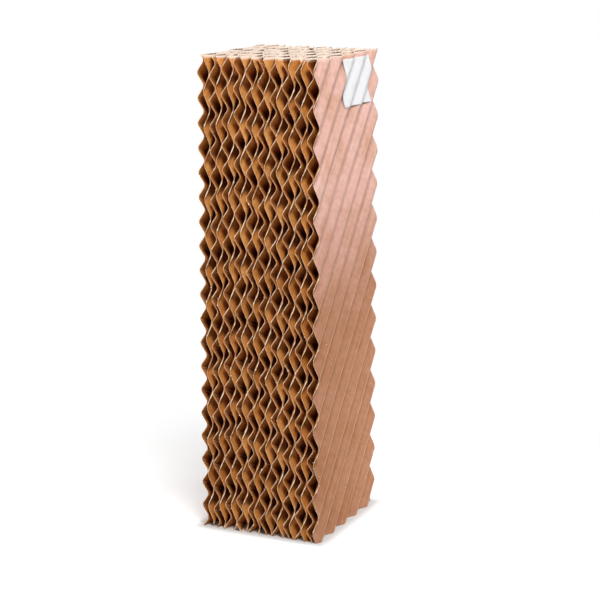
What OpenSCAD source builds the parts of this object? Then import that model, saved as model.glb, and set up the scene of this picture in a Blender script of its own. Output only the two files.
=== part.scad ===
// Evaporative cooling pad: corrugated paper sheets stand side by side and are glued crest to crest.
// Every second sheet has steep flutes and the ones between have shallow flutes that slope the other way,
// so the flutes cross and air and water mix on their way through the depth of the pad.
// X runs across the stack, Y from the air inlet face to the back, Z up. The origin is under the middle.

/* [Pad] */
// Number of corrugated sheets in the stack
sheet_count = 20; // [2:1:40]
// Height of the pad as it stands
pad_height = 508; // [150:1:1200]
// Depth of the pad, the way the air goes through it
pad_depth = 152; // [60:1:300]

/* [Sheets] */
// Spacing of neighbouring sheets across the stack
sheet_pitch = 6.9; // [4:0.05:12]
// Thickness of the stiffened paper
paper_thickness = 0.3; // [0.2:0.05:1]
// Glue line between the crests of two sheets
glue_line = 0.05; // [0.05:0.05:0.5]
// Length of one wave, measured square to the flutes
flute_pitch = 23.75; // [20:0.25:50]
// Radius of a flute's crest, measured to the middle of the paper
crest_radius = 4.5; // [1:0.25:6.5]

/* [Flutes] */
// Slope of the steep flutes, which rise from the inlet face to the back
steep_slope = 50.5; // [20:0.5:70]
// Slope of the shallow flutes, which fall from the inlet face to the back
shallow_slope = 23.5; // [0:0.5:45]

/* [Lay of the sheets] */
// Middle place of the steep crests at the inlet face, over half the pad's height, as a share of a wave
steep_start = 0.19; // [0:0.01:1]
// How far the crests of the steep sheets wander to either side of that place, as a share of a wave
steep_sway = 0.24; // [0:0.01:0.6]
// Angle by which the wander goes on from one steep sheet to the next steep one
steep_turn = 27; // [0:1:180]
// Angle at which the wander is in the first steep sheet
steep_lead = 24; // [0:1:360]
// Middle place of the shallow crests at the inlet face, over half the pad's height, as a share of a wave
shallow_start = 0.21; // [0:0.01:1]
// How far the crests of the shallow sheets wander to either side of that place, as a share of a wave
shallow_sway = 0.5; // [0:0.01:0.6]
// Angle by which the wander goes on from one shallow sheet to the next shallow one
shallow_turn = 95; // [0:1:180]
// Angle at which the wander is in the first shallow sheet
shallow_lead = 54; // [0:1:360]

/* [Label] */
// Length of the label, from front to back
label_length = 66; // [20:1:120]
// Height of the label
label_height = 50; // [20:1:100]
// Thickness of the label
label_thickness = 0.2; // [0.1:0.05:0.5]
// Layer of gum that holds the label to the end sheet
label_gum = 0.05; // [0.02:0.01:0.2]
// Distance from the label to the top of the pad
label_drop = 5; // [0:1:100]
// Distance from the label to the back of the pad
label_inset = 19; // [0:1:80]

/* [Hidden] */
// Straight steps that make up the curve of one crest
crest_steps = 4;
// Half the height of the wave, to the middle of the paper
wave_rise = (sheet_pitch - glue_line - paper_thickness) / 2;
// Slope of the flat flank between two crests, from the line that touches both crest circles
flank_reach = sqrt(pow(flute_pitch / 2, 2) + pow(2 * crest_radius - 2 * wave_rise, 2));
flank_lean = atan2(2 * crest_radius - 2 * wave_rise, flute_pitch / 2);
flank_slope = asin(2 * crest_radius / flank_reach) - flank_lean;
// Enough flute length on either side of the inlet face to reach past every edge of a sheet
flute_run = 2 * pad_depth + pad_height;
paper_brown = "#b5835a";
label_white = "#f4f3f0";

// The end sheet on the +X side is a steep one, and the two kinds alternate from there.
function is_steep(i) = (sheet_count - 1 - i) % 2 == 0;
function two_digits(n) = n < 10 ? str("0", n) : str(n);
function sheet_name(i) = str(is_steep(i) ? "steep_sheet_" : "shallow_sheet_", two_digits(i + 1));
function sheet_x(i) = (i - (sheet_count - 1) / 2) * sheet_pitch;
function flute_slope(i) = is_steep(i) ? steep_slope : -shallow_slope;

// Place of the crests of sheet i at the inlet face, over half the pad's height and along the wave
function steep_lay(k) = steep_start + steep_sway * sin(steep_lead + k * steep_turn);
function shallow_lay(k) = shallow_start + shallow_sway * sin(shallow_lead + k * shallow_turn);
function wave_share(i) = is_steep(i) ? steep_lay(floor(i / 2)) : shallow_lay(floor(i / 2));
function wave_shift(i) = flute_pitch * (wave_share(i) - round(wave_share(i)));

// Points along one face of the paper, which lies rise beyond the middle of the paper
function wave_line(rise, halves) = [
    for (j = [-halves : halves])
        let (side = abs(j) % 2 == 0 ? 1 : -1, r = crest_radius + side * rise)
            for (k = [0 : crest_steps])
                let (turn = flank_slope * (2 * k / crest_steps - 1))
                    [side * (wave_rise - crest_radius + r * cos(turn)), j * flute_pitch / 2 + r * sin(turn)]
];

function reversed(points) = [for (k = [len(points) - 1 : -1 : 0]) points[k]];

// A corrugated layer between two rises, as long along its flutes as the pad needs, in the place of sheet i
module fluted_layer(i, inner_rise, outer_rise) {
    slope = flute_slope(i);
    wave_reach = pad_depth * abs(sin(slope)) + pad_height / 2 * cos(slope);
    halves = ceil(2 * wave_reach / flute_pitch) + 3;
    outer = wave_line(outer_rise, halves);
    inner = wave_line(inner_rise, halves);
    translate([sheet_x(i), -pad_depth / 2, pad_height / 2])
        rotate([90 + slope, 0, 0])
            translate([0, wave_shift(i), 0])
                linear_extrude(height = flute_run, center = true)
                    polygon(concat(outer, reversed(inner)));
}

// One corrugated sheet, trimmed to the pad's depth and height
module sheet(i) {
    color(paper_brown)
        intersection() {
            fluted_layer(i, -paper_thickness / 2, paper_thickness / 2);
            translate([sheet_x(i) - sheet_pitch / 2, -pad_depth / 2, 0])
                cube([sheet_pitch, pad_depth, pad_height]);
        }
}

// The paper label follows the waves of the end sheet, close under its top back corner.
module label() {
    end_sheet = sheet_count - 1;
    gum_face = paper_thickness / 2 + label_gum;
    color(label_white)
        intersection() {
            fluted_layer(end_sheet, gum_face, gum_face + label_thickness);
            translate([sheet_x(end_sheet) - sheet_pitch, pad_depth / 2 - label_inset - label_length,
                       pad_height - label_drop - label_height])
                cube([2 * sheet_pitch, label_length, label_height]);
        }
}

for (i = [0 : sheet_count - 1])
    sheet(i);
label();
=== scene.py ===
# %% [markdown]
# # Evaporative cooling pad
# The pad is a block of corrugated paper sheets that stand side by side and are glued crest to crest.
# Every second sheet has steep flutes, and the ones between have shallow flutes that slope the other
# way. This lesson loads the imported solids, makes every sheet again with the small unevenness of real
# paper, and gives the paper, its sawn edges and the label their finishes.

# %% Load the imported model
import math
import random

import bmesh
import bpy
from mathutils import Matrix, Vector, noise


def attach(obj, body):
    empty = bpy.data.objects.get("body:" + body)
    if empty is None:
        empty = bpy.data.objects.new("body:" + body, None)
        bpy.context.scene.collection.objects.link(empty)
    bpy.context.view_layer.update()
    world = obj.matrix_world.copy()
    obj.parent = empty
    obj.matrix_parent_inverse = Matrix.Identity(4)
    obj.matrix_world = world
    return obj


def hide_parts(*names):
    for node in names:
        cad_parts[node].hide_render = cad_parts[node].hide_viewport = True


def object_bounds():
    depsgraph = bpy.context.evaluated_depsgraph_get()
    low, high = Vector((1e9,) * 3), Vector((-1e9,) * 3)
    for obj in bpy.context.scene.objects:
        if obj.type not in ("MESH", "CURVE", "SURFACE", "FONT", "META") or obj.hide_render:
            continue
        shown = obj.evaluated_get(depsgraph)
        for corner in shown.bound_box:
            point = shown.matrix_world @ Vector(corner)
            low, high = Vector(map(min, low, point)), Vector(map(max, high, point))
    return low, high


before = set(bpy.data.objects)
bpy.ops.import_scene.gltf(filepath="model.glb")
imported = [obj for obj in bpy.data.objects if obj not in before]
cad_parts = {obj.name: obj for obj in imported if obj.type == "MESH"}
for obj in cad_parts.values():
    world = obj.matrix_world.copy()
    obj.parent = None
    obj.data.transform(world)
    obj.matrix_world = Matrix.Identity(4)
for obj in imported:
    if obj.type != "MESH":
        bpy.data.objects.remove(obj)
solid_box = [list(corner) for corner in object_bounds()]
print("nodes:", len(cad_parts), "solid box:", solid_box)

# %% [markdown]
# ## Sizes
# The solids and the looks share one set of sizes, here in metres. A wave rises to either side by half
# of what the spacing of the sheets leaves after the paper and the glue, so the crests of two
# neighbours just meet. The flank is the straight line that touches the circles of two crests.

# %% Sizes of the pad
MM = 0.001
PAD_HEIGHT = 508 * MM
PAD_DEPTH = 152 * MM
SHEET_COUNT = 20
SHEET_PITCH = 6.9 * MM
PAPER_THICKNESS = 0.3 * MM
GLUE_LINE = 0.05 * MM
FLUTE_PITCH = 23.75 * MM
CREST_RADIUS = 4.5 * MM
STEEP_SLOPE = math.radians(50.5)
SHALLOW_SLOPE = math.radians(-23.5)
FRONT = -PAD_DEPTH / 2
BACK = PAD_DEPTH / 2
WAVE_RISE = (SHEET_PITCH - GLUE_LINE - PAPER_THICKNESS) / 2
CIRCLE_GAP = 2 * (CREST_RADIUS - WAVE_RISE)
FLANK_SLOPE = (math.asin(2 * CREST_RADIUS / math.hypot(FLUTE_PITCH / 2, CIRCLE_GAP))
               - math.atan2(CIRCLE_GAP, FLUTE_PITCH / 2))
print("wave rise mm:", round(WAVE_RISE / MM, 2), "flank:", round(math.degrees(FLANK_SLOPE), 1))

# %% [markdown]
# ## Lay of the sheets
# The sheets are laid without care for their waves, so the crests wander from sheet to sheet. Each
# sheet could be given a random place, but the solids already have theirs. Each kind of sheet follows
# a sine of its own: a middle place and a sway, as shares of a wave, and two angles in degrees, where
# the sine starts and how far it goes on from one sheet to the next of its kind.

# %% Place of each sheet
STEEP_LAY = (0.19, 0.24, 24, 27)
SHALLOW_LAY = (0.21, 0.5, 54, 95)


def is_steep(i):
    return (SHEET_COUNT - 1 - i) % 2 == 0


def sheet_name(i):
    return f"{'steep' if is_steep(i) else 'shallow'}_sheet_{i + 1:02d}"


def sheet_slope(i):
    return STEEP_SLOPE if is_steep(i) else SHALLOW_SLOPE


def wave_shift(i):
    """How far the crests of sheet i lie from the middle of its front edge, along the wave."""
    middle, sway, start, turn = STEEP_LAY if is_steep(i) else SHALLOW_LAY
    share = middle + sway * math.sin(math.radians(start + turn * (i // 2)))
    return FLUTE_PITCH * (share - round(share))


def sheet_place(i):
    """From a sheet's own axes, x through the paper, y across the flutes, z along them, to the pad's."""
    x = (i - (SHEET_COUNT - 1) / 2) * SHEET_PITCH
    place = Matrix.Translation((x, FRONT, PAD_HEIGHT / 2))
    turn = Matrix.Rotation(math.pi / 2 + sheet_slope(i), 4, "X")
    return place @ turn @ Matrix.Translation((0, wave_shift(i), 0))


print("sheets:", [sheet_name(i) for i in (0, 1, SHEET_COUNT - 1)])

# %% [markdown]
# ## Corrugated paper
# The real paper is pressed between two toothed rollers, so each wave is a round crest, a flat flank
# and a round crest the other way. A modelled wave could be a sine, but that has no flat flanks. Here
# one vertex draws the wave: spin bends it round a crest, and extrude takes it straight along a flank.

# %% Draw the wave
CREST_STEPS = 6
FLANK_STEPS = 3


def only(kind, geom):
    return [part for part in geom if isinstance(part, kind)]


def draw_wave(bm, first, last, start):
    """Draws crest after crest from one vertex, and gives the line's edges."""
    flank = FLUTE_PITCH / 2 - 2 * CREST_RADIUS * math.sin(FLANK_SLOPE)
    tip = None
    for crest in range(first, last + 1):
        side = 1 if crest % 2 == 0 else -1
        centre = Vector((side * (WAVE_RISE - CREST_RADIUS), crest * FLUTE_PITCH / 2, start))
        if tip is None:
            arm = Matrix.Rotation(-side * FLANK_SLOPE, 3, "Z") @ Vector((side * CREST_RADIUS, 0, 0))
            tip = bm.verts.new(centre + arm)
        bend = bmesh.ops.spin(bm, geom=[tip], cent=centre, axis=(0, 0, 1), steps=CREST_STEPS,
                              angle=side * 2 * FLANK_SLOPE)
        tip = only(bmesh.types.BMVert, bend["geom_last"])[0]
        step = Vector((-2 * tip.co.x, flank, 0)) / FLANK_STEPS
        for _ in range(FLANK_STEPS):
            tip = bmesh.ops.extrude_vert_indiv(bm, verts=[tip])["verts"][0]
            bmesh.ops.translate(bm, verts=[tip], vec=step)
    return list(bm.edges)


trial = bmesh.new()
draw_wave(trial, 0, 3, 0)
print("one wave has", len(trial.verts) // 2, "points, rise mm",
      round(max(v.co.x for v in trial.verts) / MM, 2))
trial.free()

# %% [markdown]
# ## Flutes
# The wave is pulled along the flutes, row by row. Real flutes aren't ruled lines: they snake a little,
# some crests are pressed flatter than others, and the whole stack bulges where the glue pulled it. A
# Displace modifier could do that, but it would push every sheet its own way. Here each sheet has a
# noise of its own across its flutes, and all the sheets share the bulge, so that neighbours still meet.

# %% Pull the wave along the flutes
ROW_LENGTH = 12 * MM
SNAKE = 0.7 * MM
SNAKE_ACROSS = 120 * MM
SNAKE_ALONG = 80 * MM
SHEET_STEP = 7.3
PRESSED = 0.04
BULGE_ACROSS = 0.3 * MM
BULGE_UP = 0.8 * MM
BULGE_SIZE = 70 * MM
BULGE_SHIFT = Vector((31, 17, 5))


def sheet_reach(i):
    """How far a sheet goes across its flutes and along them, from the middle of its front edge."""
    rise, run = math.sin(sheet_slope(i)), math.cos(sheet_slope(i))
    corners = [(y, z) for y in (0, PAD_DEPTH) for z in (-PAD_HEIGHT / 2, PAD_HEIGHT / 2)]
    across = [z * run - y * rise - wave_shift(i) for y, z in corners]
    along = [-y * run - z * rise for y, z in corners]
    return min(across), max(across), min(along), max(along)


def corrugate(i):
    """A piece of corrugated paper in the place of sheet i, larger than the sheet to be cut from it."""
    low, high, start, end = sheet_reach(i)
    bm = bmesh.new()
    first = math.floor(2 * low / FLUTE_PITCH) - 1
    last = math.ceil(2 * high / FLUTE_PITCH) + 1
    line = draw_wave(bm, first, last, start)
    for _ in range(math.ceil((end - start) / ROW_LENGTH)):
        pulled = bmesh.ops.extrude_edge_only(bm, edges=line)["geom"]
        verts = only(bmesh.types.BMVert, pulled)
        bmesh.ops.translate(bm, verts=verts, vec=(0, 0, ROW_LENGTH))
        line = only(bmesh.types.BMEdge, pulled)
    flute_map = bm.loops.layers.uv.new("flute_map")
    for face in bm.faces:
        for loop in face.loops:
            loop[flute_map].uv = (loop.vert.co.z, loop.vert.co.y)
    for v in bm.verts:
        where = Vector((v.co.y / SNAKE_ACROSS, v.co.z / SNAKE_ALONG, SHEET_STEP * i))
        v.co.x *= 1 + PRESSED * (0.3 + 0.7 * noise.noise(where * 3))
        v.co.y += SNAKE * noise.noise(where)
    bmesh.ops.transform(bm, matrix=sheet_place(i), verts=bm.verts)
    for v in bm.verts:
        here = v.co / BULGE_SIZE
        v.co.x += BULGE_ACROSS * noise.noise(here)
        v.co.z += BULGE_UP * noise.noise(here + BULGE_SHIFT)
    return bm


trial = corrugate(0)
print("faces before the saw:", len(trial.faces))
trial.free()

# %% [markdown]
# ## Sawn edges
# A band saw cuts the glued block to its depth and height, and leaves a thin rough burr on every edge.
# A Boolean could do the cutting, but bisect is quicker on an open surface and leaves clean edges. A
# second cut just inside each face leaves a narrow border that can swell into the burr. An attribute
# marks the border, so that the paper can turn pale there.

# %% Saw a sheet to size
BURR_WIDTH = 1.4 * MM
ROUGH_CUT = 0.35 * MM
# noise steps to the metre
COARSE_TEETH = 450
FINE_TEETH = 1500


def saw(bm, low, high):
    """Cuts along y and z to a box, marks the border and roughens its edge inwards."""
    cuts = [(axis, sign, corner[axis]) for axis in (1, 2) for sign, corner in ((-1, low), (1, high))]
    for inset, clear in ((0, True), (BURR_WIDTH, False)):
        for axis, sign, level in cuts:
            normal = Vector((0, 0, 0))
            normal[axis] = sign
            bmesh.ops.bisect_plane(bm, geom=bm.verts[:] + bm.edges[:] + bm.faces[:], dist=1e-7,
                                   plane_co=normal * (sign * level - inset), plane_no=normal,
                                   clear_outer=clear)
    cut_edge = bm.verts.layers.float.new("cut_edge")
    for v in bm.verts:
        for axis, sign, level in cuts:
            if abs(v.co[axis] - level) < 1e-6:
                v[cut_edge] = 1
                rough = noise.noise(v.co * COARSE_TEETH) + 0.6 * noise.noise(v.co * FINE_TEETH)
                v.co[axis] -= sign * ROUGH_CUT * max(0, rough)
    return bm


pad_low, pad_high = Vector((0, FRONT, 0)), Vector((0, BACK, PAD_HEIGHT))
trial = saw(corrugate(0), pad_low, pad_high)
print("faces after the saw:", len(trial.faces))
trial.free()

# %% [markdown]
# ## Thickness
# The paper so far has no thickness. A Solidify modifier could give it one, but then its cut edge would
# be shaded together with its faces. Extruding the whole sheet onto itself gives a second face, which
# moves back as the first moves forward, and the strip between them is the cut edge, kept flat and
# given its own finish. The blade crosses the stack at a slant, so it tears the flanks that lie square
# to its path and leaves the others clean. Torn border vertices move further, which makes the burr.
# The torn edges are also painted paler, partly a painted highlight for the light that they catch.

# %% Tear the border
TOP_BORDER = 2 * MM
SLANT_TEAR = 0.35
# noise steps to the metre
LONG_RIPS = 220
SHORT_RIPS = 600


def tear_and_highlight(v):
    """How badly the blade tore the paper at a vertex, from 0 for a clean cut to 1."""
    out = v.normal * math.copysign(1, v.normal.x)
    level = abs(v.co.z - PAD_HEIGHT / 2) > PAD_HEIGHT / 2 - TOP_BORDER
    # the way an edge faces decides how torn it is, so its paleness is partly a painted highlight
    square = out.y if level else -out.z * (1 if out.y > 0 else SLANT_TEAR)
    swell = 0.5 + 1.1 * noise.noise(v.co * LONG_RIPS) + 0.8 * noise.noise(v.co * SHORT_RIPS)
    return min(1, max(0, swell)) * min(1, max(0, 4 * square - 0.2))


trial = saw(corrugate(0), pad_low, pad_high)
trial.normal_update()
mark = trial.verts.layers.float.get("cut_edge")
torn = [tear_and_highlight(v) for v in trial.verts if v[mark]]
print("border vertices:", len(torn), "torn:", sum(t > 0.5 for t in torn))
trial.free()

# %% Thicken a sheet
BURR = 0.42 * MM


def thicken(bm, low, high, thickness, burr=0.0):
    """Turns a surface into a closed sheet inside the saw cuts, with its rim in the second finish."""
    bm.normal_update()
    cut_edge = bm.verts.layers.float.get("cut_edge")
    out = bm.verts.layers.float_vector.new("out")
    back = bm.verts.layers.int.new("back")
    for v in bm.verts:
        torn = tear_and_highlight(v) if v[cut_edge] else 0
        v[out] = v.normal * (thickness / 2 + burr * torn)
        # paler where torn: open fibre and a painted highlight on the edges that catch the light
        v[cut_edge] *= 0.4 + 0.6 * torn
    copy = bmesh.ops.extrude_face_region(bm, geom=bm.faces[:], use_keep_orig=True)["geom"]
    for v in only(bmesh.types.BMVert, copy):
        v[back] = 1
    for v in bm.verts:
        v.co += v[out] * (-1 if v[back] else 1)
        v.co.y = min(max(v.co.y, low.y), high.y)
        v.co.z = min(max(v.co.z, low.z), high.z)
    for face in bm.faces:
        sides = {v[back] for v in face.verts}
        face.smooth = len(sides) == 1
        face.material_index = 1 if len(sides) == 2 else 0
    # a thin sheet has no clear inside for the recalculation, so the first face's direction decides
    bmesh.ops.recalc_face_normals(bm, faces=bm.faces[:])
    bm.normal_update()
    first = next(face for face in bm.faces if not any(v[back] for v in face.verts))
    if first.normal.dot(first.verts[0][out]) < 0:
        bmesh.ops.reverse_faces(bm, faces=bm.faces[:])
    bm.verts.layers.float_vector.remove(out)
    bm.verts.layers.int.remove(back)
    return bm


trial = thicken(saw(corrugate(0), pad_low, pad_high), pad_low, pad_high, PAPER_THICKNESS, BURR)
print("closed:", all(e.is_manifold for e in trial.edges), "triangles:",
      sum(len(f.verts) - 2 for f in trial.faces))
trial.free()

# %% [markdown]
# ## A piece of the pad
# A finished mesh becomes an object at the origin, with its place in its mesh, as the solids have it.
# It rides on the pad's one body, takes the finishes it is given, and stands for its solid.


# %% Hand a piece to the pad
def finish_piece(bm, name, materials, node=None):
    """Makes the mesh an object that rides on the pad, in the place of its node."""
    mesh = bpy.data.meshes.new(name)
    bm.to_mesh(mesh)
    bm.free()
    for material in materials:
        mesh.materials.append(material)
    piece = bpy.data.objects.new(name, mesh)
    bpy.context.scene.collection.objects.link(piece)
    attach(piece, "root")
    if node:
        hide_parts(node)
    return piece


# %% [markdown]
# ## Nodes and colours
# Colours are written as sRGB hex values, as a paint program shows them, and one function turns them
# to linear light. A second function adds a node, sets it and links it, so that a finish reads as a
# list of its marks.


# %% Colours and nodes
def colour(code):
    """An sRGB hex value as linear red, green, blue and alpha."""
    parts = [int(code[k:k + 2], 16) / 255 for k in (1, 3, 5)]
    return [c / 12.92 if c <= 0.04045 else ((c + 0.055) / 1.055) ** 2.4 for c in parts] + [1]


def add(tree, kind, inputs=None, **settings):
    """Adds a node, sets it, and links or fills its inputs."""
    made = tree.nodes.new(kind)
    for name, value in settings.items():
        setattr(made, name, value)
    for name, value in (inputs or {}).items():
        if isinstance(value, bpy.types.NodeSocket):
            tree.links.new(value, made.inputs[name])
        else:
            made.inputs[name].default_value = value
    return made


def new_material(name):
    made = bpy.data.materials.new(name)
    made.use_nodes = True
    made.node_tree.nodes.clear()
    return made, made.node_tree


print("mid grey in linear light:", round(colour("#808080")[0], 3))

# %% [markdown]
# ## Pressed paper
# The paper is kraft paper soaked in resin and pressed between rollers. It has cloudy patches where it
# drank more resin, streaks along the flutes from the rollers, pale fibres, and mottles of pulp. A
# picture of paper would repeat from sheet to sheet, so each mark is a noise as large as the real one.
# The fibres and streaks also give the paper its tooth.

# %% Clouds, streaks, fibres and mottles
CLOUD = 40 * MM
STREAK_LENGTH = 150 * MM
STREAK_WIDTH = 2.5 * MM
# real fibres are finer, and are drawn as coarse as they need to be to show
FIBRE = 1 * MM
MOTTLE = 6 * MM
PULP = "#D2BCA8"


def pressed_marks(tree, place, along, look):
    """The marks of paper making as layers of colour, and the height of the paper's tooth."""
    cloud = add(tree, "ShaderNodeTexNoise", {"Vector": place, "Scale": 1 / CLOUD, "Detail": 5,
                                             "Roughness": 0.6})
    lane = add(tree, "ShaderNodeMapping", {"Vector": along,
                                           "Scale": (1 / STREAK_LENGTH, 1 / STREAK_WIDTH, 1)})
    streak = add(tree, "ShaderNodeTexNoise", {"Vector": lane.outputs[0], "Scale": 1, "Detail": 3})
    fibres = add(tree, "ShaderNodeTexNoise", {"Vector": place, "Scale": 1 / FIBRE, "Detail": 3,
                                              "Roughness": 0.7})
    pulp = add(tree, "ShaderNodeTexNoise", {"Vector": place, "Scale": 1 / MOTTLE, "Detail": 2})
    soak = add(tree, "ShaderNodeMapRange", {"Value": cloud.outputs["Fac"], "From Min": 0.4,
                                            "From Max": 0.7})
    rub = add(tree, "ShaderNodeMapRange", {"Value": streak.outputs["Fac"], "From Min": 0.45,
                                           "From Max": 0.75, "To Max": 0.45})
    hair = add(tree, "ShaderNodeMapRange", {"Value": fibres.outputs["Fac"], "From Min": 0.58,
                                            "From Max": 0.75, "To Max": 0.5})
    mottle = add(tree, "ShaderNodeMapRange", {"Value": pulp.outputs["Fac"], "From Min": 0.4,
                                              "From Max": 0.65, "To Max": look["mottled"]})
    tooth = add(tree, "ShaderNodeMath", {0: fibres.outputs["Fac"], 1: streak.outputs["Fac"]},
                operation="ADD")
    layers = [(soak.outputs[0], look["soaked"], "MIX"), (rub.outputs[0], look["fibre"], "MIX"),
              (hair.outputs[0], look["fibre"], "MIX"), (mottle.outputs[0], PULP, "MULTIPLY")]
    return layers, tooth.outputs[0]


print("finest mark mm:", round(FIBRE / MM, 2))

# %% [markdown]
# ## Tones and painted shade
# No two rolls of paper are quite the same brown. Each sheet could have a material of its own, but an
# attribute with its share of a second tone keeps it to one. The paper is also made darker far inside
# the pad and towards the bottom: painted shade, for the flutes that lie in shadow and for the light
# from above that falls off lower down. These tints follow the place on the pad, and multiply the
# colour under them.

# %% Rolls and painted shade
ROLL = "#F0E2C2"
LIT_DEPTH = 18 * MM
OPEN_DEPTH = 2 * MM
LOWER_SHADE_BOTTOM = 200 * MM
LOWER_SHADE_TOP = 410 * MM


def tints_and_painted_shade(tree, axes, look):
    """Roll tint and painted shade inside and below as layers, and the share of the lower shade."""
    roll = add(tree, "ShaderNodeAttribute", attribute_name="roll")
    side = add(tree, "ShaderNodeMath", {0: axes.outputs[1]}, operation="ABSOLUTE")
    # darker far inside the pad: painted shade of the flutes, where little light reaches
    inside = add(tree, "ShaderNodeMapRange", {"Value": side.outputs[0], "From Min": BACK - LIT_DEPTH,
                                              "From Max": BACK - OPEN_DEPTH, "To Min": 1, "To Max": 0})
    # darker towards the bottom: painted shade, where the light from above falls off
    below = add(tree, "ShaderNodeMapRange", {"Value": axes.outputs[2], "From Min": LOWER_SHADE_BOTTOM,
                                             "From Max": LOWER_SHADE_TOP, "To Min": 1, "To Max": 0},
                interpolation_type="SMOOTHSTEP")
    layers = [(roll.outputs["Fac"], ROLL, "MULTIPLY"), (inside.outputs[0], look["inside_shade"], "MULTIPLY"),
              (below.outputs[0], look["lower_shade"], "MULTIPLY")]
    return layers, below.outputs[0]


print("faded above mm:", round(LOWER_SHADE_TOP / MM))

# %% [markdown]
# ## Painted lines and specks
# The valleys of the flutes get painted shade, a dark line about 3 mm wide. The crests of the lower
# half get a painted highlight, a paler line about 2 mm wide, and specks of pulp lie about 10 mm
# apart. The lines could be painted on each sheet, but the wave already says where they go: they
# come from the sheet's own map, which runs along and across its flutes.

# %% Painted valley shade, painted crest highlight and specks
# painted shade in the valleys of the flutes
PAINTED_VALLEY_SHADE = "#B4806A"
# painted highlight on the crests of the lower half
PAINTED_CREST_HIGHLIGHT = "#F5C7A1"
SPECK = "#F5DCB4"
SPECK_SPACING = 10 * MM


def painted_lines_and_specks(tree, place, along, axes, below, look):
    """Layers: painted shade in the valleys, painted highlight on the crests, and specks."""
    lanes = add(tree, "ShaderNodeSeparateXYZ", {0: along})
    turn = add(tree, "ShaderNodeMath", {0: lanes.outputs[1], 1: math.tau / FLUTE_PITCH},
               operation="MULTIPLY")
    wave = add(tree, "ShaderNodeMath", {0: turn.outputs[0]}, operation="COSINE")
    # seen from outside, 1 is a crest and -1 a valley, at both ends of the pad
    end = add(tree, "ShaderNodeMath", {0: axes.outputs[0]}, operation="SIGN")
    crest = add(tree, "ShaderNodeMath", {0: wave.outputs[0], 1: end.outputs[0]}, operation="MULTIPLY")
    # painted shade: a dark line along each valley of the flutes
    valley = add(tree, "ShaderNodeMapRange", {"Value": crest.outputs[0], "From Min": -1,
                                              "From Max": -0.92, "To Min": look["valley_shade"], "To Max": 0})
    # painted highlight: a paler line on the crests of the lower half, for light from the floor
    top = add(tree, "ShaderNodeMapRange", {"Value": crest.outputs[0], "From Min": 0.97, "From Max": 1,
                                           "To Max": 0.4})
    crest_highlight = add(tree, "ShaderNodeMath", {0: top.outputs[0], 1: below}, operation="MULTIPLY")
    grain = add(tree, "ShaderNodeTexVoronoi", {"Vector": place, "Scale": 1 / SPECK_SPACING})
    spot = add(tree, "ShaderNodeMapRange", {"Value": grain.outputs["Distance"], "From Min": 0.04,
                                            "From Max": 0.09, "To Min": 0.45, "To Max": 0})
    return [(valley.outputs[0], PAINTED_VALLEY_SHADE, "MULTIPLY"), (crest_highlight.outputs[0], PAINTED_CREST_HIGHLIGHT, "MIX"),
            (spot.outputs[0], SPECK, "MIX")]


print("flutes to a metre:", round(1 / FLUTE_PITCH, 1))

# %% [markdown]
# ## Resin-stiffened kraft paper
# Paper that faces the inside of the pad is golden, and the two outer faces of the pad are a little
# pinker. Both are the same finish with other colours, so one function makes them. Its last layers are
# the pale torn border, partly a painted highlight, and sawdust with a painted highlight on the top
# edges and just below them.

# %% Resin-stiffened kraft paper
# pale top: sawdust and a painted highlight of the light from above
DUST_AND_TOP_HIGHLIGHT = "#ECDDCD"
TOP_PALE_FROM = 3.5 * MM
TOP_PALE_FULL = 1.2 * MM
# painted light in the looks: the tints far inside, below and in the valleys are painted shade, and the
# pale top is sawdust with a painted highlight
INNER = {"plain": "#D8984F", "soaked": "#B4712D", "fibre": "#E7B670", "edge": "#F3CFB2",
         "inside_shade": "#C29278", "lower_shade": "#F3EFEB", "dust_and_highlight": 0.8, "mottled": 0.4, "valley_shade": 0.2}
OUTER = {"plain": "#DAAFA4", "soaked": "#C99A81", "fibre": "#EBCBC1", "edge": "#F3CFB2",
         "inside_shade": "#FFFFFF", "lower_shade": "#CFB899", "dust_and_highlight": 0.3, "mottled": 0.25, "valley_shade": 0.8}


def resin_paper(name, look):
    """Kraft paper stiffened with resin: matt, with hardly any gloss and a fine tooth to the eye."""
    made, tree = new_material(name)
    place = add(tree, "ShaderNodeTexCoord").outputs["Object"]
    along = add(tree, "ShaderNodeUVMap", uv_map="flute_map").outputs["UV"]
    axes = add(tree, "ShaderNodeSeparateXYZ", {0: place})
    layers, tooth = pressed_marks(tree, place, along, look)
    tints, below = tints_and_painted_shade(tree, axes, look)
    layers += tints + painted_lines_and_specks(tree, place, along, axes, below, look)
    border = add(tree, "ShaderNodeAttribute", attribute_name="cut_edge")
    # pale torn border: open fibre and a painted highlight
    pale = add(tree, "ShaderNodeMath", {0: border.outputs["Fac"], 1: 0.7}, operation="MULTIPLY")
    # the pale top: sawdust and painted highlight
    crown = add(tree, "ShaderNodeMapRange", {"Value": axes.outputs[2], "To Max": look["dust_and_highlight"],
                                             "From Min": PAD_HEIGHT - TOP_PALE_FROM,
                                             "From Max": PAD_HEIGHT - TOP_PALE_FULL})
    layers += [(pale.outputs[0], look["edge"], "MIX"), (crown.outputs[0], DUST_AND_TOP_HIGHLIGHT, "MIX")]
    tone = colour(look["plain"])
    for share, code, way in layers:
        tone = add(tree, "ShaderNodeMix", {0: share, 6: tone, 7: colour(code)}, data_type="RGBA",
                   blend_type=way).outputs[2]
    bump = add(tree, "ShaderNodeBump", {"Height": tooth, "Strength": 0.35, "Distance": 0.12 * MM})
    skin = add(tree, "ShaderNodeBsdfPrincipled", {"Base Color": tone, "Normal": bump.outputs[0],
                                                  "Roughness": 0.82, "Specular IOR Level": 0.25})
    add(tree, "ShaderNodeOutputMaterial", {"Surface": skin.outputs[0]})
    return made


inner_paper = resin_paper("resin_kraft_paper_inner", INNER)
outer_paper = resin_paper("resin_kraft_paper_outer", OUTER)
print("papers:", inner_paper.name, outer_paper.name)

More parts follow.
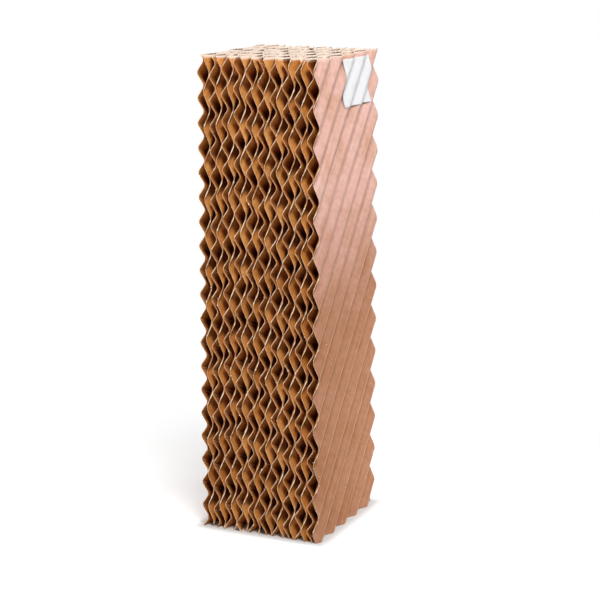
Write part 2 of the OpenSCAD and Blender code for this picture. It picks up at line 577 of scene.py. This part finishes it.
# %% [markdown]
# ## Sawn paper edge
# Where the saw went through, the fibres stand open. A clean cut shows brown resin, and a torn one is
# pale and dull, partly a painted highlight for the light those edges catch. The attribute that made
# the burr also says how torn the edge is, and a noise of 4 mm breaks it up.

# %% Sawn paper edge
TORN_PATCH = 4 * MM
CROWN_FROM = 2 * MM
CROWN_FULL = 1 * MM


def sawn_edge(name, pale, brown):
    """Open fibres: no gloss, and uneven from brown to pale over a few millimetres."""
    made, tree = new_material(name)
    place = add(tree, "ShaderNodeTexCoord").outputs["Object"]
    torn = add(tree, "ShaderNodeTexNoise", {"Vector": place, "Scale": 1 / TORN_PATCH, "Detail": 4,
                                            "Roughness": 0.7})
    border = add(tree, "ShaderNodeAttribute", attribute_name="cut_edge")
    height = add(tree, "ShaderNodeSeparateXYZ", {0: place}).outputs[2]
    # the pale top of the cut edges: sawdust and painted highlight
    crown = add(tree, "ShaderNodeMapRange", {"Value": height, "From Min": PAD_HEIGHT - CROWN_FROM,
                                             "From Max": PAD_HEIGHT - CROWN_FULL})
    fibre = add(tree, "ShaderNodeMath", {0: border.outputs["Fac"], 1: torn.outputs["Fac"]},
                operation="ADD")
    # pale where torn: open fibre and a painted highlight
    frayed_and_highlight = add(tree, "ShaderNodeMapRange", {"Value": fibre.outputs[0], "From Min": 0.75,
                                              "From Max": 1.3})
    tone = add(tree, "ShaderNodeMix", {0: frayed_and_highlight.outputs[0], 6: colour(brown), 7: colour(pale)},
               data_type="RGBA")
    tone = add(tree, "ShaderNodeMix", {0: crown.outputs[0], 6: tone.outputs[2], 7: colour(DUST_AND_TOP_HIGHLIGHT)},
               data_type="RGBA")
    bump = add(tree, "ShaderNodeBump", {"Height": torn.outputs["Fac"], "Strength": 0.5,
                                        "Distance": 0.1 * MM})
    skin = add(tree, "ShaderNodeBsdfPrincipled", {"Base Color": tone.outputs[2],
                                                  "Normal": bump.outputs[0], "Roughness": 0.9,
                                                  "Specular IOR Level": 0.2})
    add(tree, "ShaderNodeOutputMaterial", {"Surface": skin.outputs[0]})
    return made


cut_paper = sawn_edge("sawn_paper_edge", "#FFE8C8", "#E8AE88")
print("edge:", cut_paper.name)

# %% [markdown]
# ## The stack
# Each sheet takes the place of its solid. The two end sheets show a pinker face to the outside, so
# their outward faces get the outer paper. The sheets between them differ a little in their brown.

# %% Build the sheets
sheets = []
random.seed(11)
for i in range(SHEET_COUNT):
    bm = saw(corrugate(i), pad_low, pad_high)
    bm = thicken(bm, pad_low, pad_high, PAPER_THICKNESS, BURR)
    outside = {0: -1, SHEET_COUNT - 1: 1}.get(i, 0)
    roll = bm.verts.layers.float.new("roll")
    shade = 0 if outside else random.random()
    for v in bm.verts:
        v[roll] = shade
    for face in bm.faces:
        if face.material_index == 0 and face.normal.x * outside > 0:
            face.material_index = 2
    name = sheet_name(i)
    papers = [inner_paper, cut_paper, outer_paper]
    sheets.append(finish_piece(bm, "paper_" + name, papers, name))
print("triangles in the stack:", sum(len(f.vertices) - 2 for s in sheets for f in s.data.polygons))

# %% [markdown]
# ## Label
# A blank white paper label is gummed to the end sheet, under its top back corner. It follows the
# waves, and bridges the bottom of each flute a little. It could be a plane shrunk onto the sheet, but
# here it is cut from the same waves as the sheet that it sticks to, so it can't miss them.

# %% Coated label paper
# coated paper: white and smooth, with a soft sheen and a few smudges about 12 mm across
SMUDGE = 12 * MM
label_paper, tree = new_material("coated_label_paper")
place = add(tree, "ShaderNodeTexCoord").outputs["Object"]
handling = add(tree, "ShaderNodeTexNoise", {"Vector": place, "Scale": 1 / SMUDGE, "Detail": 5})
smudge = add(tree, "ShaderNodeMapRange", {"Value": handling.outputs["Fac"], "From Min": 0.5,
                                          "From Max": 0.8})
tone = add(tree, "ShaderNodeMix", {0: smudge.outputs[0], 6: colour("#E0E0E2"),
                                   7: colour("#D3D2D1")}, data_type="RGBA")
bump = add(tree, "ShaderNodeBump", {"Height": handling.outputs["Fac"], "Strength": 0.3,
                                    "Distance": 0.3 * MM})
skin = add(tree, "ShaderNodeBsdfPrincipled", {"Base Color": tone.outputs[2],
                                              "Normal": bump.outputs[0], "Roughness": 0.45})
add(tree, "ShaderNodeOutputMaterial", {"Surface": skin.outputs[0]})
print("label finish:", label_paper.name)

# %% Cut and stick the label
LABEL_LENGTH = 66 * MM
LABEL_HEIGHT = 50 * MM
LABEL_THICKNESS = 0.2 * MM
LABEL_GUM = 0.05 * MM
LABEL_DROP = 5 * MM
LABEL_INSET = 19 * MM
LABEL_BRIDGE = 0.35
label_back = BACK - LABEL_INSET
label_top = PAD_HEIGHT - LABEL_DROP
label_lift = PAPER_THICKNESS / 2 + 2 * LABEL_GUM + LABEL_THICKNESS / 2
bm = corrugate(SHEET_COUNT - 1)
crest_x = ((SHEET_COUNT - 1) / 2) * SHEET_PITCH + WAVE_RISE
for v in bm.verts:
    v.co.x += LABEL_BRIDGE * (crest_x - v.co.x) + label_lift
label_low = Vector((0, label_back - LABEL_LENGTH, label_top - LABEL_HEIGHT))
label_high = Vector((0, label_back, label_top))
bm = thicken(saw(bm, label_low, label_high), label_low, label_high, LABEL_THICKNESS)
label = finish_piece(bm, "blank_paper_label", [label_paper, label_paper], "label")
print("label faces:", len(label.data.polygons))

# %% [markdown]
# ## Torn fibres
# Here and there the saw left a shred of paper on an edge, and these shreds catch the light. A particle
# system could scatter them, but then they wouldn't be one plain mesh. Each one is a small flattened
# cone on the border of a sheet, turned at random, and all of them are one mesh.

# %% Find the borders
FOOT_CLEAR = 4 * MM
borders = {}
for i, sheet in enumerate(sheets):
    marks = sheet.data.attributes["cut_edge"].data
    for v, mark in zip(sheet.data.vertices, marks):
        if mark.value > 0 and v.co.z > FOOT_CLEAR:
            high_up = v.co.z > PAD_HEIGHT - TOP_BORDER
            side = "top" if high_up else "front" if v.co.y < 0 else "back"
            borders.setdefault((side, i), []).append(v.co.copy())
print("border points:", sum(len(points) for points in borders.values()))

# %% Scatter the torn fibres
SHRED_COUNTS = {"front": 220, "back": 180, "top": 150}
# shortest and longest, thinnest and thickest, in millimetres, and the lean in radians
SHRED_LENGTH = (1.0, 2.8)
SHRED_RADIUS = (0.4, 0.8)
SHRED_LEAN = (0.4, 2.7)
SHRED_TIP = 0.08 * MM
SHRED_FLAT = 0.35
random.seed(4)
bm = bmesh.new()
for side, count in SHRED_COUNTS.items():
    axis, start, span = (1, FRONT, PAD_DEPTH) if side == "top" else (2, 0, PAD_HEIGHT)
    for _ in range(count):
        border = borders[side, random.randrange(SHEET_COUNT)]
        goal = start + random.random() * span
        point = min(border, key=lambda spot: abs(spot[axis] - goal))
        length = random.uniform(*SHRED_LENGTH) * MM
        swing = Matrix.Rotation(random.uniform(0, math.tau), 4, "Z")
        lean = Matrix.Rotation(random.uniform(*SHRED_LEAN), 4, "X")
        flat = Matrix.Diagonal((1, SHRED_FLAT, 1, 1))
        bmesh.ops.create_cone(bm, cap_ends=True, segments=5,
                              radius1=random.uniform(*SHRED_RADIUS) * MM, radius2=SHRED_TIP,
                              depth=length, matrix=Matrix.Translation(point) @ swing @ lean @ flat)
bmesh.ops.recalc_face_normals(bm, faces=bm.faces[:])
cut_edge = bm.verts.layers.float.new("cut_edge")
for v in bm.verts:
    v[cut_edge] = 1
shred_paper = sawn_edge("torn_paper_fibre", "#FBF3E2", "#E8CFA6")
shreds = finish_piece(bm, "torn_fibres", [shred_paper])
print("faces of the shreds:", len(shreds.data.polygons))

# %% [markdown]
# ## Floor
# The floor is pale paper. Near the pad it is lit as any surface is, so that the pad's shadow shows,
# and a glow for the eye alone lifts it to white. Under the pad there is no glow, so the floor stays
# dark between the feet of the flutes, and the glow only comes back over 14 mm around the pad: a
# painted contact shadow. Further off it is plain white, so the background has no edge.


# %% Floor and what the eye sees
def eye_share(tree):
    """One for rays that reach the eye, straight or by mirror or glass, and zero for spread light."""
    path = add(tree, "ShaderNodeLightPath")
    shiny = add(tree, "ShaderNodeMath", {0: path.outputs["Is Glossy Ray"],
                                         1: path.outputs["Is Transmission Ray"]}, operation="ADD")
    return add(tree, "ShaderNodeMath", {0: path.outputs["Is Camera Ray"], 1: shiny.outputs[0]},
               operation="ADD", use_clamp=True).outputs[0]


bm = bmesh.new()
bmesh.ops.create_grid(bm, x_segments=1, y_segments=1, size=6)
mesh = bpy.data.meshes.new("studio_floor")
bm.to_mesh(mesh)
bm.free()
floor = bpy.data.objects.new("studio_floor", mesh)
bpy.context.scene.collection.objects.link(floor)
print("floor:", floor.name)

# %% White studio floor
# matt paper: a grey that light and glow bring to white, with the shadow left in it
FLOOR_GREY = colour("#D0D0D0")
WHITE = colour("#FFFFFF")
FLOOR_LIFT = 0.46
LIFT_START = -2 * MM
LIFT_FULL = 14 * MM
WHITE_START = 200 * MM
WHITE_FULL = 500 * MM
white_floor, tree = new_material("white_studio_floor")
place = add(tree, "ShaderNodeTexCoord").outputs["Object"]
seen = eye_share(tree)
away = add(tree, "ShaderNodeVectorMath", {0: place}, operation="LENGTH")
fade = add(tree, "ShaderNodeMapRange", {"Value": away.outputs["Value"], "From Min": WHITE_START,
                                        "From Max": WHITE_FULL}, interpolation_type="SMOOTHSTEP")
share = add(tree, "ShaderNodeMath", {0: fade.outputs[0], 1: seen}, operation="MULTIPLY")
apart = add(tree, "ShaderNodeVectorMath", {0: place}, operation="ABSOLUTE")
past = add(tree, "ShaderNodeVectorMath", {0: apart.outputs[0], 1: solid_box[1]}, operation="SUBTRACT")
past = add(tree, "ShaderNodeVectorMath", {0: past.outputs[0], 1: (0, 0, 0)}, operation="MAXIMUM")
gap = add(tree, "ShaderNodeVectorMath", {0: past.outputs[0]}, operation="LENGTH")
# no glow under the pad, rising over 14 mm around it: a painted contact shadow
open_floor = add(tree, "ShaderNodeMapRange", {"Value": gap.outputs["Value"], "From Min": LIFT_START,
                                              "From Max": LIFT_FULL, "To Max": FLOOR_LIFT},
                 interpolation_type="SMOOTHSTEP")
lift = add(tree, "ShaderNodeMath", {0: seen, 1: open_floor.outputs[0]}, operation="MULTIPLY")
matt = add(tree, "ShaderNodeBsdfDiffuse", {"Color": FLOOR_GREY})
sheen = add(tree, "ShaderNodeEmission", {"Color": WHITE, "Strength": lift.outputs[0]})
near = add(tree, "ShaderNodeAddShader", {0: matt.outputs[0], 1: sheen.outputs[0]})
glow = add(tree, "ShaderNodeEmission", {"Color": WHITE, "Strength": 1.0})
mixed = add(tree, "ShaderNodeMixShader", {0: share.outputs[0], 1: near.outputs[0],
                                          2: glow.outputs[0]})
add(tree, "ShaderNodeOutputMaterial", {"Surface": mixed.outputs[0]})
mesh.materials.append(white_floor)
print("floor finish:", white_floor.name)

# %% [markdown]
# ## Light
# A photographer's white room: the walls give back a little light from all sides, and softboxes do the
# rest. The large one stands high in front on the right. Two small ones near the labelled end draw out
# its ridges, and two at the left and back keep those sides from falling dark. They are weak enough for
# a colour to look about as it is written.

# %% Light from the room
ROOM_LIGHT = 0.09
world = bpy.data.worlds.new("white_room")
bpy.context.scene.world = world
world.use_nodes = True
tree = world.node_tree
tree.nodes.clear()
room = add(tree, "ShaderNodeBackground", {"Color": WHITE, "Strength": ROOM_LIGHT})
backdrop = add(tree, "ShaderNodeBackground", {"Color": WHITE, "Strength": 1.0})
mixed = add(tree, "ShaderNodeMixShader", {0: eye_share(tree), 1: room.outputs[0],
                                          2: backdrop.outputs[0]})
add(tree, "ShaderNodeOutputWorld", {"Surface": mixed.outputs[0]})
print("room light:", ROOM_LIGHT)


# %% Softboxes
def softbox(name, place, aim, width, height, watts):
    lamp = bpy.data.lights.new(name, "AREA")
    lamp.shape, lamp.size, lamp.size_y, lamp.energy = "RECTANGLE", width, height, watts
    made = bpy.data.objects.new(name, lamp)
    made.location = place
    made.rotation_euler = (Vector(aim) - Vector(place)).to_track_quat("-Z", "Y").to_euler()
    bpy.context.scene.collection.objects.link(made)
    return made


PAD_MIDDLE = (0, 0, 0.25)
softbox("key_softbox", (1.15, -1.35, 2.75), PAD_MIDDLE, 0.9, 0.9, 80)
softbox("side_softbox", (0.62, 0.15, 1.3), (0.07, 0, 0.4), 0.5, 0.5, 4.2)
softbox("low_softbox", (0.36, 0.24, 0.06), (0.07, 0, 0.1), 0.2, 0.1, 0.48)
softbox("back_softbox", (-1.4, 1.5, 0.6), PAD_MIDDLE, 1.0, 0.8, 26)
softbox("front_softbox", (-1.6, -1.3, 0.9), PAD_MIDDLE, 0.8, 0.8, 17.5)

# %% [markdown]
# ## Camera
# The camera stands where the photographer stood: to the right of the pad, a little above its top, and
# far enough away for a long lens.

# %% Camera
camera_data = bpy.data.cameras.new("photo_camera")
camera_data.sensor_width = 36
camera_data.lens = 106.9
camera = bpy.data.objects.new("photo_camera", camera_data)
camera.location = (0.799, -1.693, 0.668)
look_at = Vector((0.012, 0, 0.243))
camera.rotation_euler = (look_at - camera.location).to_track_quat("-Z", "Y").to_euler()
bpy.context.scene.collection.objects.link(camera)
bpy.context.scene.camera = camera
bpy.context.scene.view_settings.view_transform = "Standard"
print("camera distance m:", round((camera.location - Vector(PAD_MIDDLE)).length, 3))
